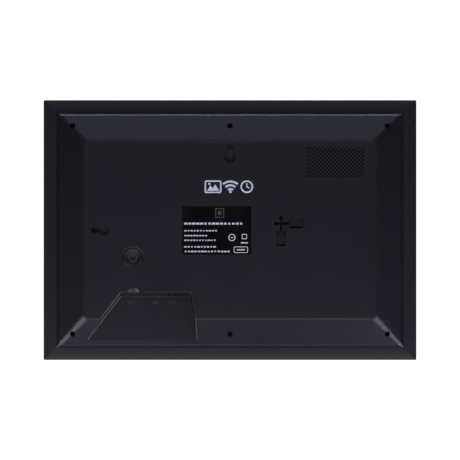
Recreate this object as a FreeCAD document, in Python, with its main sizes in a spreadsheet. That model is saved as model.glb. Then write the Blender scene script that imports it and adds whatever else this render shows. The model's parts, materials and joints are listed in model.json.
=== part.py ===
import FreeCAD, Part
import math
import os
import re

import Sketcher
from FreeCAD import Placement, Rotation, Vector

# The frame hangs or stands upright: X is its width, Z its height with the bottom edge at zero,
# and Y its depth, with the picture facing -Y and the rear panel facing +Y. "rear" and "front"
# levels below are Y values, and "middle" is the height of the picture's centre.
DIMENSIONS = {
    # Outside of the front moulding.
    "outer_width": 261.0,
    "outer_height": 182.0,
    "middle": 91.0,
    "front_level": -12.5,
    "rim_level": -1.5,
    "corner_round": 1.0,
    "rim_round": 0.4,
    "rim_crown": 70.0,
    # Hollow behind the picture and the window in front of it.
    "pocket_width": 238.0,
    "pocket_height": 159.6,
    "pocket_level": -9.8,
    "window_width": 223.0,
    "window_height": 142.0,
    "window_level": -11.3,
    "slope_width": 7.5,
    # Rear cover: a steep lip, four sloping sides and a flat panel.
    "base_width": 242.7,
    "base_height": 164.4,
    "base_round": 1.5,
    "shoulder_level": 2.0,
    "lip_run": 2.15,
    "shoulder_round": 2.2,
    "lip_edge_round": 2.4,
    "panel_level": 12.5,
    "panel_width": 202.4,
    "panel_height": 123.2,
    "panel_round": 4.0,
    "panel_edge_round": 3.5,
    "skin": 2.0,
    "lip_skin": 2.35,
    "cavity_shoulder": 0.53,
    "cavity_shoulder_inset": 1.44,
    "cavity_panel_inset": 0.55,
    # Connector bay at the bottom of the rear cover.
    "bay_floor": 4.0,
    "bay_top": 45.0,
    "bay_foot": 8.0,
    "bay_left": 75.9,
    "bay_right": 28.2,
    "bay_left_lean": 0.765,
    "bay_right_lean": 0.17,
    "bay_side_draft": 0.19,
    "bay_top_draft": 0.35,
    "bay_edge_round": 0.7,
    "scoop_centre": 66.4,
    "scoop_radius": 8.6,
    "scoop_lift": 7.5,
    "scoop_height": 46.9,
    # Screws through the rear cover.
    "rear_screw_spread": 109.2,
    "rear_screw_rise": 72.2,
    "screw_well": 1.9,
    "screw_post": 3.4,
    "screw_seat": 0.9,
    "screw_post_level": -0.3,
    # Keyholes, one for each way up.
    "keyhole_wide": 3.9,
    "keyhole_narrow": 2.1,
    "keyhole_reach": 6.9,
    "keyhole_height": 140.9,
    "keyhole_side": 86.7,
    "cap_depth": 4.0,
    "cap_skin": 0.9,
    # Socket for a clip-on leg.
    "socket_centre": -35.2,
    "socket_height": 95.5,
    "socket_arm": 1.5,
    "socket_pit": 1.35,
    "socket_long": 10.4,
    "socket_short": 6.5,
    "socket_depth": 1.2,
    "hook_slot": 1.1,
    "socket_run": 9.4,
    "socket_away": 10.4,
    # Power button.
    "button_centre": 67.1,
    "button_height": 72.1,
    "button_radius": 6.7,
    "button_hole": 6.95,
    "button_ring": 7.9,
    "dish_ball": 24.4,
    "dish_depth": 0.7,
    "cap_edge_round": 0.35,
    "lead_in_rise": 0.5,
    "lead_in_depth": 0.26,
    "flange_radius": 8.2,
    "flange_level": 10.1,
    "flange_depth": 0.7,
    "stem_radius": 2.0,
    "plunger_radius": 1.6,
    "plunger_level": 8.6,
    # Speaker and its grille.
    "speaker_centre": -72.4,
    "speaker_height": 137.9,
    "grille_width": 41.0,
    "grille_height": 21.5,
    "hole_pitch": 2.8,
    "hole_radius": 0.55,
    "basket_width": 40.0,
    "basket_height": 20.0,
    "basket_rear": 9.5,
    "basket_front": 5.5,
    "ear_spread": 23.2,
    # Main board.
    "board_left": 78.0,
    "board_right": 24.0,
    "board_low": 52.0,
    "board_high": 100.0,
    "board_rear": 4.6,
    "board_front": 3.0,
    "port_edge": 49.7,
    "card_across": 68.5,
    "data_across": 52.0,
    "inlet_across": 40.4,
    "inlet_level": 7.5,
    "inlet_opening": 3.2,
    "inlet_bore": 2.3,
    "inlet_pin": 0.7,
    "processor_across": 44.0,
    "processor_height": 80.0,
    "processor_side": 13.0,
    "plug_height": 58.0,
    "display_plug": 48.0,
    "touch_plug": 70.0,
    # Display stack, named by the level of each piece's rear face.
    "glass_rear": -8.6,
    "tape_rear": -8.1,
    "cell_rear": -6.7,
    "films_rear": -6.2,
    "guide_rear": -4.2,
    "reflector_rear": -4.0,
    "chassis_rear": -3.6,
    "retainer_rear": -1.6,
    "glass_width": 233.0,
    "glass_height": 149.6,
    "cell_width": 226.0,
    "cell_height": 145.8,
    "frame_width": 228.4,
    "frame_height": 148.2,
    "module_width": 229.4,
    "module_height": 149.2,
    "chassis_skin": 0.4,
    # Retainer screws.
    "retainer_screw_spread": 60.0,
    "retainer_screw_rise": 77.5,
    "retainer_post": 2.1,
    "thread": 0.86,
    "clearance": 1.1,
    # Rating label.
    "label_left": 33.1,
    "label_right": -14.7,
    "label_low": 74.2,
    "label_high": 107.4,
    "label_depth": 0.12,
}

document = FreeCAD.newDocument("PhotoFrame")
sheet = document.addObject("Spreadsheet::Sheet", "dims")
subparts = {}


def fill_sheet():
    """Write each driving dimension beside its name."""
    for row, (alias, number) in enumerate(DIMENSIONS.items(), 1):
        sheet.set(f"A{row}", alias)
        sheet.set(f"B{row}", str(number))
        sheet.setAlias(f"B{row}", alias)
    document.recompute()


def formula(text):
    """Turn 'outer_width / 2' into the expression that reads the sheet's cells."""
    return re.sub(r"[a-z]+(_[a-z]+)*", lambda word: "dims." + word.group(0), str(text))


def size(text):
    """The number that a formula gives, in millimetres."""
    return float(sheet.evalExpression(formula(text)))


def bind(item, path, text):
    """Drive one property of an object by a formula."""
    item.setExpression(path, formula(text))


# Sketches: x runs along the frame's width and y up its height, on a plane at a given level.

def sketch(body, name, level, role="XZ_Plane"):
    """A sketch on one of the body's origin planes, moved to a level along Y (or along Z or X)."""
    drawing = body.newObject("Sketcher::SketchObject", name)
    plane = next(item for item in body.Origin.OriginFeatures if item.Role == role)
    drawing.AttachmentSupport = [(plane, "")]
    drawing.MapMode = "FlatFace"
    offset = f"-({level})" if role == "XZ_Plane" else level
    bind(drawing, ".AttachmentOffset.Base.z", offset)
    return drawing


def pin_point(drawing, item, point, place):
    """Hold one point of a sketch at an (x, y) pair of formulas."""
    for kind, text in zip(("DistanceX", "DistanceY"), place):
        index = drawing.addConstraint(Sketcher.Constraint(kind, -1, 1, item, point, size(text)))
        bind(drawing, f"Constraints[{index}]", text)


def polygon(drawing, corners):
    """A closed outline of straight sides through pairs of formulas."""
    places = [Vector(size(x), size(y), 0) for x, y in corners]
    first = drawing.GeometryCount
    count = len(corners)
    for index, place in enumerate(places):
        drawing.addGeometry(Part.LineSegment(place, places[(index + 1) % count]))
    for index, corner in enumerate(corners):
        following = first + (index + 1) % count
        drawing.addConstraint(Sketcher.Constraint("Coincident", first + index, 2, following, 1))
        pin_point(drawing, first + index, 1, corner)


def rectangle(drawing, x, y, width, height):
    """A rectangle about a centre."""
    left, right = f"({x}) - ({width}) / 2", f"({x}) + ({width}) / 2"
    low, high = f"({y}) - ({height}) / 2", f"({y}) + ({height}) / 2"
    polygon(drawing, [(left, low), (right, low), (right, high), (left, high)])


def circle(drawing, x, y, radius):
    """A circle about a centre."""
    item = drawing.addGeometry(Part.Circle(Vector(size(x), size(y), 0), Vector(0, 0, 1), size(radius)))
    pin_point(drawing, item, 3, (x, y))
    index = drawing.addConstraint(Sketcher.Constraint("Radius", item, size(radius)))
    bind(drawing, f"Constraints[{index}]", radius)


def rounded(drawing, x, y, width, height, radius):
    """A rectangle about a centre with four equal round corners."""
    places = []
    for across, up in ((1, 1), (-1, 1), (-1, -1), (1, -1)):
        places.append((f"({x}) + {across} * (({width}) / 2 - ({radius}))",
                       f"({y}) + {up} * (({height}) / 2 - ({radius}))"))
    reach = size(radius)
    ends = []
    for index, (across, up) in enumerate(places):
        centre = Vector(size(across), size(up), 0)
        start = index * math.pi / 2
        arc = Part.ArcOfCircle(Part.Circle(centre, Vector(0, 0, 1), reach), start, start + math.pi / 2)
        drawing.addGeometry(arc)
        ends.append((arc.StartPoint, arc.EndPoint))
    for index in range(4):
        drawing.addGeometry(Part.LineSegment(ends[index][1], ends[(index + 1) % 4][0]))
    for index in range(4):
        following = (index + 1) % 4
        drawing.addConstraint(Sketcher.Constraint("Tangent", index, 2, 4 + index, 1))
        drawing.addConstraint(Sketcher.Constraint("Tangent", 4 + index, 2, following, 1))
        pin_point(drawing, index, 3, places[index])
    row = drawing.addConstraint(Sketcher.Constraint("Radius", 0, reach))
    bind(drawing, f"Constraints[{row}]", radius)


# Features of a body.

def new_body(label):
    """An empty body with its name as its label."""
    body = document.addObject("PartDesign::Body", label)
    body.Label = label
    document.recompute()
    return body


def pad(body, drawing, depth):
    """Grow the outline towards the picture (or up, from a level plane)."""
    feature = body.newObject("PartDesign::Pad", drawing.Name + "_pad")
    feature.Profile = drawing
    bind(feature, "Length", depth)
    document.recompute()
    return feature


def pocket(body, drawing, depth, forward=True):
    """Cut the outline towards the picture, and make sure that something was cut."""
    before = body.Shape.Volume
    feature = body.newObject("PartDesign::Pocket", drawing.Name + "_pocket")
    feature.Profile = drawing
    feature.Reversed = forward
    bind(feature, "Length", depth)
    document.recompute()
    if body.Shape.Volume > before - 1e-6:
        raise RuntimeError(f"{feature.Name} cuts nothing")
    return feature


def loft(body, sections, kind="AdditiveLoft"):
    """Straight sides between outlines."""
    feature = body.newObject(f"PartDesign::{kind}", sections[0].Name + "_loft")
    feature.Profile = sections[0]
    feature.Sections = sections[1:]
    feature.Ruled = True
    document.recompute()
    return feature


def round_edges(body, feature, radius, chosen):
    """Round the edges of a feature that a test picks."""
    names = [f"Edge{number}" for number, edge in enumerate(feature.Shape.Edges, 1) if chosen(edge)]
    fillet = body.newObject("PartDesign::Fillet", feature.Name + "_round")
    fillet.Base = (feature, names)
    bind(fillet, "Radius", radius)
    document.recompute()
    return fillet


def lies_at(edge, axis, level):
    """Whether a whole edge lies at one level along an axis."""
    box = edge.BoundBox
    low, high = getattr(box, axis + "Min"), getattr(box, axis + "Max")
    return abs(low - level) < 1e-4 and abs(high - level) < 1e-4


def runs_along_depth(edge):
    """Whether an edge runs straight along Y."""
    box = edge.BoundBox
    return box.XLength < 1e-4 and box.ZLength < 1e-4


def keep(label, item):
    """Record a finished sub-part under its name."""
    item.Label = label
    subparts[label] = item
    return item


# Primitives and booleans.

BACKWARD = Rotation(Vector(1, 0, 0), -90)
UPRIGHT = Rotation()


def place(item, x, y, z, turn=UPRIGHT):
    """Put an object at a point given by three formulas."""
    item.Placement = Placement(Vector(size(x), size(y), size(z)), turn)
    for axis, text in zip("xyz", (x, y, z)):
        bind(item, f".Placement.Base.{axis}", text)
    return item


def rod(name, x, z, radius, front, rear):
    """A cylinder along Y between two levels."""
    item = document.addObject("Part::Cylinder", name)
    bind(item, "Radius", radius)
    bind(item, "Height", f"({rear}) - ({front})")
    return place(item, x, front, z, BACKWARD)


def box(name, x, z, width, height, front, rear):
    """A box about a centre in X and Z, between two levels along Y."""
    item = document.addObject("Part::Box", name)
    bind(item, "Length", width)
    bind(item, "Width", f"({rear}) - ({front})")
    bind(item, "Height", height)
    return place(item, f"({x}) - ({width}) / 2", front, f"({z}) - ({height}) / 2")


def joined(name, pieces):
    """The union of several pieces."""
    item = document.addObject("Part::MultiFuse", name)
    item.Shapes = pieces
    return item


def cut(name, base, tool):
    """A base less a tool, or less the union of several tools."""
    item = document.addObject("Part::Cut", name)
    item.Base = base
    item.Tool = joined(name + "_tools", tool) if isinstance(tool, list) else tool
    return item


def group(name, pieces):
    """Separate solids that share one node."""
    item = document.addObject("Part::Compound", name)
    item.Links = pieces
    return item


def mirrored(source, axis, level):
    """A piece's reflection across a plane square to an axis."""
    item = document.addObject("Part::Mirroring", source.Name + "_mirrored")
    item.Source = source
    item.Normal = Vector(axis == "X", axis == "Y", axis == "Z")
    item.Base = item.Normal * size(level)
    return item


def slab(label, x, z, width, height, rear, depth, radius=None):
    """A flat piece with square or round corners, made as a body."""
    body = new_body(label)
    drawing = sketch(body, label + "_outline", rear)
    if radius is None:
        rectangle(drawing, x, z, width, height)
    else:
        rounded(drawing, x, z, width, height, radius)
    pad(body, drawing, depth)
    return body


def ring(label, x, z, width, height, border, rear, depth):
    """A flat rectangular ring with one border width all round."""
    body = new_body(label)
    drawing = sketch(body, label + "_outline", rear)
    rectangle(drawing, x, z, width, height)
    rectangle(drawing, x, z, f"({width}) - 2 * ({border})", f"({height}) - 2 * ({border})")
    pad(body, drawing, depth)
    return body


def screw(name, x, z, seat, shank, head, length, depth, backward=True):
    """A pan-head screw with a cross recess, its head behind the seat (or in front of it)."""
    way = "+" if backward else "-"
    far = "-" if backward else "+"
    levels = [f"({seat}) {far} ({length})", f"({seat})"]
    shaft = rod(name + "_shank", x, z, shank, *(levels if backward else levels[::-1]))
    levels = [f"({seat})", f"({seat}) {way} ({depth})"]
    cap = rod(name + "_head", x, z, head, *(levels if backward else levels[::-1]))
    levels = [f"({seat}) {way} ({depth}) * 0.45", f"({seat}) {way} ({depth}) * 1.2"]
    levels = levels if backward else levels[::-1]
    flat = box(name + "_slot", x, z, f"({head}) * 1.2", f"({head}) * 0.26", *levels)
    tall = box(name + "_cross", x, z, f"({head}) * 0.26", f"({head}) * 1.2", *levels)
    return cut(name, joined(name + "_blank", [shaft, cap]), [flat, tall])


def rear_screw_places():
    """The six screws that hold the rear cover, as pairs of formulas."""
    spread = ("-rear_screw_spread", "0", "rear_screw_spread")
    rise = ("middle - rear_screw_rise", "middle + rear_screw_rise")
    return [(x, z) for z in rise for x in spread]


def retainer_screw_places():
    """The six screws that hold the display retainer."""
    spread = ("-retainer_screw_spread", "0", "retainer_screw_spread")
    rise = ("middle - retainer_screw_rise", "middle + retainer_screw_rise")
    return [(x, z) for z in rise for x in spread]


BOARD_SCREWS = (("27.6", "67.5"), ("27.6", "96.4"), ("74.4", "96.4"), ("56.6", "66"))
BUTTON = ("button_centre", "button_height")
PROCESSOR = ("processor_across", "processor_height")
LABEL_CENTRE = ("(label_left + label_right) / 2", "(label_low + label_high) / 2")


def make_front_frame():
    """The picture surround: a thick moulding with a sloping inner edge and a deep rear pocket."""
    body = new_body("front_frame")
    outline = sketch(body, "surround", "rim_level")
    rectangle(outline, "0", "middle", "outer_width", "outer_height")
    block = pad(body, outline, "rim_level - front_level")
    block = round_edges(body, block, "corner_round", runs_along_depth)
    front = size("front_level")
    round_edges(body, block, "rim_round", lambda edge: lies_at(edge, "Y", front))
    hollow = sketch(body, "picture_pocket", "rim_level")
    rectangle(hollow, "0", "middle", "pocket_width", "pocket_height")
    pocket(body, hollow, "rim_level - pocket_level")
    window = sketch(body, "window", "pocket_level")
    rectangle(window, "0", "middle", "window_width", "window_height")
    pocket(body, window, "pocket_level - front_level")
    inner = sketch(body, "slope_foot", "window_level")
    rectangle(inner, "0", "middle", "window_width", "window_height")
    outer = sketch(body, "slope_top", "front_level")
    rectangle(outer, "0", "middle", "window_width + 2 * slope_width", "window_height + 2 * slope_width")
    loft(body, [inner, outer], "SubtractiveLoft")
    posts = sketch(body, "screw_posts", "chassis_rear - 0.1")
    for x, z in retainer_screw_places():
        circle(posts, x, z, "retainer_post")
    pad(body, posts, "chassis_rear - 0.1 - pocket_level")
    pilots = sketch(body, "screw_pilots", "chassis_rear - 0.1")
    for x, z in retainer_screw_places():
        circle(pilots, x, z, "thread")
    pocket(body, pilots, "5")
    body.Label = "surround_blank"
    keep("front_frame", cut("front_frame_crowned", body, rim_cutters()))


def rim_cutters():
    """What leaves the rear face falling away in a shallow arc from the cover's foot all round."""
    levels = ("rim_level - 3", "rim_level + 1")
    axis_level = "rim_level - rim_crown"
    foot, side = "middle + base_height / 2", "base_width / 2"
    top = box("top_waste", "0", f"{foot} + 10", "outer_width + 4", "20", *levels)
    top_barrel = barrel("top_barrel", "outer_width + 6")
    place(top_barrel, "-outer_width / 2 - 3", axis_level, foot, Rotation(Vector(0, 1, 0), 90))
    left = box("left_waste", f"{side} + 10", "middle", "20", "outer_height + 4", *levels)
    left_barrel = barrel("left_barrel", "outer_height + 6")
    place(left_barrel, side, axis_level, "-3")
    edge_level = "rim_level - (outer_width - base_width) ^ 2 / (8 * rim_crown)"
    top_edge = document.addObject("Part::Box", "top_edge_waste")
    bind(top_edge, "Length", "outer_width + 6")
    place(top_edge, "-outer_width / 2 - 3", f"{edge_level} + 1", "middle + outer_height / 2 - rim_round - 1",
          Rotation(Vector(1, 0, 0), 45))
    left_edge = document.addObject("Part::Box", "left_edge_waste")
    bind(left_edge, "Height", "outer_height + 6")
    place(left_edge, "outer_width / 2 + 1", f"{edge_level} - rim_round - 1", "-3",
          Rotation(Vector(0, 0, 1), 45))
    upper = [cut("crown_top", top, top_barrel), top_edge]
    outer = [cut("crown_left", left, left_barrel), left_edge]
    return [*upper, *outer, *(mirrored(item, "Z", "middle") for item in upper),
            *(mirrored(item, "X", "0") for item in outer)]


def barrel(name, length):
    """The long cylinder that the rim's crown follows."""
    item = document.addObject("Part::Cylinder", name)
    bind(item, "Radius", "rim_crown")
    bind(item, "Height", length)
    return item


def make_display():
    """Touch glass, panel, light guide and their frames, from the front to the back."""
    keep("touch_glass", slab("touch_glass", "0", "middle", "glass_width", "glass_height", "glass_rear", "1.1",
                             "1.5"))
    keep("glass_tape", ring("glass_tape", "0", "middle", "frame_width", "frame_height", "4.4", "tape_rear",
                            "tape_rear - glass_rear"))
    keep("lcd_cell", slab("lcd_cell", "0", "middle", "cell_width", "cell_height", "cell_rear",
                          "cell_rear - tape_rear"))
    keep("optical_films", slab("optical_films", "0", "middle", "cell_width - 2", "cell_height - 2",
                               "films_rear", "0.4"))
    keep("light_guide", slab("light_guide", "0", "middle + 0.7", "223.6", "142", "guide_rear",
                             "guide_rear - films_rear"))
    keep("reflector_sheet", slab("reflector_sheet", "0", "middle", "224.2", "144", "reflector_rear",
                                 "reflector_rear - guide_rear"))
    frame = ring("backlight_frame", "0", "middle", "frame_width", "frame_height", "1.9", "guide_rear",
                 "guide_rear - tape_rear")
    seat = sketch(frame, "cell_seat", "cell_rear + 0.05")
    rectangle(seat, "0", "middle", "cell_width + 0.4", "cell_height + 0.4")
    pocket(frame, seat, "cell_rear + 0.05 - tape_rear")
    keep("backlight_frame", frame)
    tray = slab("lcd_chassis", "0", "middle", "module_width", "module_height", "chassis_rear",
                "chassis_rear - tape_rear - 0.2")
    inside = sketch(tray, "tray_inside", "reflector_rear")
    rectangle(inside, "0", "middle", "module_width - 2 * chassis_skin", "module_height - 2 * chassis_skin")
    pocket(tray, inside, "reflector_rear - tape_rear")
    keep("lcd_chassis", tray)
    make_led_strip()


def make_led_strip():
    """A thin board below the light guide with a row of lamps that shine up into it."""
    low = "middle - 71.95"
    pieces = [box("led_board", "0", f"{low} + 0.1", "220", "0.2", "films_rear + 0.1", "guide_rear - 0.1")]
    for index in range(24):
        across = f"-105.8 + {index} * 9.2"
        pieces.append(box(f"led_{index}", across, f"{low} + 0.6", "3", "0.8", "films_rear + 0.4",
                          "guide_rear - 0.4"))
    keep("led_strip", joined("led_strip", pieces))


def make_retainer():
    """The ring that presses the display into the front frame and takes the rear screws."""
    body = new_body("panel_retainer")
    plate = sketch(body, "retainer_plate", "retainer_rear")
    rounded(plate, "0", "middle", "pocket_width - 0.6", "pocket_height - 0.6", "2")
    pad(body, plate, "retainer_rear - chassis_rear")
    bosses = sketch(body, "retainer_bosses", "screw_post_level - 0.1")
    for x, z in rear_screw_places():
        circle(bosses, x, z, "2.9")
    pad(body, bosses, "screw_post_level - 0.1 - retainer_rear")
    opening = sketch(body, "retainer_opening", "retainer_rear")
    rounded(opening, "0", "middle", "200", "116", "5")
    pocket(body, opening, "retainer_rear - chassis_rear")
    holes = sketch(body, "retainer_holes", "retainer_rear")
    for x, z in retainer_screw_places():
        circle(holes, x, z, "1.05")
    pocket(body, holes, "retainer_rear - chassis_rear")
    pilots = sketch(body, "boss_pilots", "screw_post_level - 0.1")
    for x, z in rear_screw_places():
        circle(pilots, x, z, "1.02")
    pocket(body, pilots, "2.9")
    keep("panel_retainer", body)
    screws = []
    for number, (x, z) in enumerate(retainer_screw_places()):
        screws.append(screw(f"retainer_screw_{number}", x, z, "retainer_rear", "thread", "1.7", "6", "0.9"))
    keep("retainer_screws", group("retainer_screws", screws))
    keep("insulation_sheet", slab("insulation_sheet", "51", "75", "66", "58", "chassis_rear + 0.2", "0.2"))


def housing_section(body, name, level, width, height, radius):
    """One outline across the rear cover."""
    drawing = sketch(body, name, level)
    rounded(drawing, "0", "middle", width, height, radius)
    return drawing


def make_housing_blank():
    """The outside of the rear cover as a solid, with the edge of its flat panel rounded."""
    body = new_body("housing_blank")
    sections = [
        housing_section(body, "housing_panel", "panel_level", "panel_width", "panel_height",
                        "panel_round"),
        housing_section(body, "housing_shoulder", "shoulder_level", "base_width - 2 * lip_run",
                        "base_height - 2 * lip_run", "shoulder_round"),
        housing_section(body, "housing_base", "rim_level", "base_width", "base_height", "base_round"),
    ]
    feature = loft(body, sections)
    for radius, text in (("panel_edge_round", "panel_level"), ("lip_edge_round", "shoulder_level")):
        level = size(text)
        feature = round_edges(body, feature, radius, lambda edge, level=level: lies_at(edge, "Y", level))
    return body


def make_cavity():
    """The hollow of the rear cover, one skin inside the blank."""
    body = new_body("housing_cavity")
    inset = "2 * (lip_run + cavity_shoulder_inset)"
    sections = [
        housing_section(body, "cavity_panel", "panel_level - skin", "panel_width - 2 * cavity_panel_inset",
                        "panel_height - 2 * cavity_panel_inset", "2.5"),
        housing_section(body, "cavity_side", "cavity_shoulder", f"base_width - {inset}",
                        f"base_height - {inset}", "0.8"),
        housing_section(body, "cavity_base", "rim_level", "base_width - 2 * lip_skin",
                        "base_height - 2 * lip_skin", "0.8"),
    ]
    loft(body, sections)
    return body


def bay_outline(body, name, level, grow):
    """The bay's leaning outline at a level, moved outwards by a margin."""
    rise = f"(({level}) - bay_floor)"
    side = f"(bay_side_draft * {rise} + {grow})"
    top = f"(bay_top_draft * {rise} + {grow})"
    drop = "(bay_top - bay_foot)"
    drawing = sketch(body, name, level)
    polygon(drawing, [
        (f"bay_right - bay_right_lean * {drop} - {side}", "bay_foot"),
        (f"bay_left + bay_left_lean * {drop} + {side}", "bay_foot"),
        (f"bay_left - bay_left_lean * {top} + {side}", f"bay_top + {top}"),
        (f"bay_right + bay_right_lean * {top} - {side}", f"bay_top + {top}"),
    ])
    return drawing


def make_bay(name, low, high, grow):
    """The bay as a solid: its space, or with a margin the walls that carry it."""
    body = new_body(name)
    sections = [bay_outline(body, name + "_high", high, grow), bay_outline(body, name + "_low", low, grow)]
    loft(body, sections)
    return body


def keyhole(name, x, z, across, up):
    """A round entry with a narrower slot that leads away from it."""
    front, rear = "panel_level - skin - 0.5", "panel_level + 1"
    far_x, far_z = f"{x} + {across} * keyhole_reach", f"{z} + {up} * keyhole_reach"
    middle_x, middle_z = f"{x} + {across} * keyhole_reach / 2", f"{z} + {up} * keyhole_reach / 2"
    width = f"keyhole_reach * {abs(across)} + 2 * keyhole_narrow * {abs(up)}"
    height = f"keyhole_reach * {abs(up)} + 2 * keyhole_narrow * {abs(across)}"
    return [
        rod(name + "_entry", x, z, "keyhole_wide", front, rear),
        rod(name + "_end", far_x, far_z, "keyhole_narrow", front, rear),
        box(name + "_slot", middle_x, middle_z, width, height, front, rear),
    ]


def socket_cuts():
    """The clip-on leg's socket: a cross with two pits, and one ribbed recess for each way up."""
    front, rear = "panel_level - skin - 0.5", "panel_level + 1"
    centre, height = "socket_centre", "socket_height"
    cuts = [
        box("socket_upright", centre, f"{height} - 0.4", "socket_arm", "socket_run", front, rear),
        box("socket_crossbar", f"{centre} - 0.8", height, "socket_run", "socket_arm", front, rear),
        rod("socket_top_pit", centre, f"{height} + 3.8", "socket_pit", front, rear),
        rod("socket_side_pit", f"{centre} + 3.5", height, "socket_pit", front, rear),
        box("side_hook_slot", f"{centre} - socket_away", f"{height} - 2.65", "8.8", "hook_slot", front, rear),
        box("low_hook_slot", f"{centre} - 0.1", f"{height} - 15", "5.4", "hook_slot", front, rear),
        box("low_left_notch", f"{centre} + 2.2", f"{height} - 6", "1.5", "hook_slot", front, rear),
        box("low_right_notch", f"{centre} - 2.4", f"{height} - 6", "1.5", "hook_slot", front, rear),
    ]
    level = "panel_level - socket_depth"
    recesses = [
        box("side_recess", f"{centre} - socket_away", height, "socket_long", "socket_short", level, rear),
        box("low_recess", f"{centre} - 0.1", f"{height} - socket_away", "socket_short", "socket_long",
            level, rear),
    ]
    ribs = []
    for index in range(5):
        step = f"({index} - 2) * 1.9"
        ribs.append(box(f"side_rib_{index}", f"{centre} - socket_away + {step}", height, "0.7",
                        "socket_short", level, f"{level} + 0.5"))
    for index in range(3):
        step = f"({index} - 1) * 1.9"
        ribs.append(box(f"low_rib_{index}", f"{centre} - 0.1 + {step}", f"{height} - socket_away", "0.7",
                        "socket_long", level, f"{level} + 0.5"))
    return cuts + [cut("socket_recesses", joined("recess_blocks", recesses), ribs)]


def port_cuts():
    """Openings in the bay's top wall: card slot, data socket and power inlet."""
    body = new_body("port_openings")
    drawing = sketch(body, "ports", "bay_top + 8", "XY_Plane")
    rectangle(drawing, "card_across", "5.75", "12.2", "1.7")
    rectangle(drawing, "data_across", "6.1", "8.6", "3.5")
    circle(drawing, "inlet_across", "inlet_level", "inlet_opening")
    drawing_pad = pad(body, drawing, "9")
    drawing_pad.Reversed = True
    return body


def make_rear_cover():
    """The rear cover: blank, less its hollow (which leaves posts and bay walls), less the openings."""
    space = make_bay("bay_space", "bay_floor", "panel_level + 1.5", "0")
    blank = cut("blank_with_bay", make_housing_blank(), space)
    document.recompute()
    blank = round_bay(blank, space)
    kept = [make_bay("bay_walls", "bay_floor - skin", "panel_level", "skin")]
    kept.append(box("scoop_backing", "scoop_centre", "51", "14", "9", "8", "panel_level"))
    openings = []
    for number, (x, z) in enumerate(rear_screw_places()):
        kept.append(rod(f"cover_post_{number}", x, z, "screw_post", "screw_post_level", "panel_level"))
        openings.append(rod(f"cover_well_{number}", x, z, "screw_well", "screw_seat", "panel_level"))
        openings.append(rod(f"cover_hole_{number}", x, z, "1.15", "rim_level", "screw_seat + 1"))
    for number, (x, z) in enumerate(BOARD_SCREWS):
        kept.append(rod(f"board_post_{number}", x, z, "2.5", "board_rear", "panel_level"))
        openings.append(rod(f"board_pilot_{number}", x, z, "thread", "board_rear - 1", "panel_level - skin"))
    for side in ("-", "+"):
        across = f"speaker_centre {side} ear_spread"
        name = "left" if side == "+" else "right"
        kept.append(rod(f"speaker_post_{name}", across, "speaker_height", "2.3", "basket_front + 1",
                        "panel_level"))
        openings.append(rod(f"speaker_pilot_{name}", across, "speaker_height", "thread", "basket_front",
                            "panel_level - skin"))
    hollow = cut("net_cavity", make_cavity(), kept)
    openings += keyhole("top_keyhole", "0", "keyhole_height", 0, 1)
    openings += keyhole("side_keyhole", "keyhole_side", "middle", 1, 0)
    openings += socket_cuts() + [port_cuts()]
    openings.append(rod("button_opening", *BUTTON, "button_hole", "panel_level - skin - 1",
                        "panel_level + 1"))
    openings.append(box("label_seat", *LABEL_CENTRE, "label_left - label_right + 0.4",
                        "label_high - label_low + 0.4", "panel_level - label_depth - 0.03",
                        "panel_level + 1"))
    openings.append(button_countersink())
    openings.append(scoop())
    openings.append(grille())
    keep("rear_cover", cut("rear_cover", blank, [hollow] + openings))


def round_bay(blank, space):
    """Round the bay's rim and corners, all but the sharp edge where its floor meets the slope."""
    skin = space.Shape.Shells[0]
    radius = size("bay_edge_round")
    chosen = []
    for number, edge in enumerate(blank.Shape.Edges, 1):
        middle = edge.valueAt((edge.FirstParameter + edge.LastParameter) / 2)
        on_bay = skin.distToShape(Part.Vertex(middle))[0] < 0.01
        if on_bay and edge.BoundBox.ZMax > size("bay_foot") + 10:
            chosen.append((number, radius, radius))
    rounded_bay = document.addObject("Part::Fillet", "blank_with_rounded_bay")
    rounded_bay.Base = blank
    rounded_bay.Edges = chosen
    document.recompute()
    if rounded_bay.Shape.isNull() or not rounded_bay.Shape.isValid():
        raise RuntimeError("the bay's edges did not round")
    return rounded_bay


def button_countersink():
    """A shallow ring that leads into the button's hole."""
    item = document.addObject("Part::Cone", "button_lead")
    bind(item, "Radius1", "button_hole - 0.1")
    bind(item, "Radius2", "button_ring + 0.4")
    bind(item, "Height", "lead_in_rise")
    return place(item, "button_centre", "panel_level - lead_in_depth", "button_height",
                 BACKWARD)


def scoop():
    """A thumb scoop over the card slot."""
    item = document.addObject("Part::Sphere", "thumb_scoop")
    bind(item, "Radius", "scoop_radius")
    return place(item, "scoop_centre", "panel_level + scoop_lift", "scoop_height")


def grille():
    """Small holes in staggered rows over the speaker."""
    pitch = size("hole_pitch")
    rows = int(size("grille_height") / pitch) + 1
    columns = int(size("grille_width") / pitch) + 1
    depth = size("skin") + 2
    start = size("panel_level") + 1
    pins = []
    for row in range(2 * rows - 1):
        odd = row % 2
        for column in range(columns - odd):
            across = (column + odd / 2 - (columns - 1) / 2) * pitch
            up = (row - (rows - 1)) * pitch / 2
            foot = Vector(size("speaker_centre") + across, start, size("speaker_height") + up)
            pins.append(Part.makeCylinder(size("hole_radius"), depth, foot, Vector(0, -1, 0)))
    item = document.addObject("Part::Feature", "grille_pins")
    item.Shape = Part.makeCompound(pins)
    return item


def cup(label, x, z, width, height):
    """A shallow cup glued behind an opening of the rear panel, open towards the panel."""
    rear = "panel_level - skin"
    body = slab(label, x, z, width, height, rear, "cap_depth", "1.5")
    inside = sketch(body, label + "_inside", rear)
    rounded(inside, x, z, f"{width} - 2 * cap_skin", f"{height} - 2 * cap_skin", "0.8")
    pocket(body, inside, "cap_depth - cap_skin")
    return keep(label, body)


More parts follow.
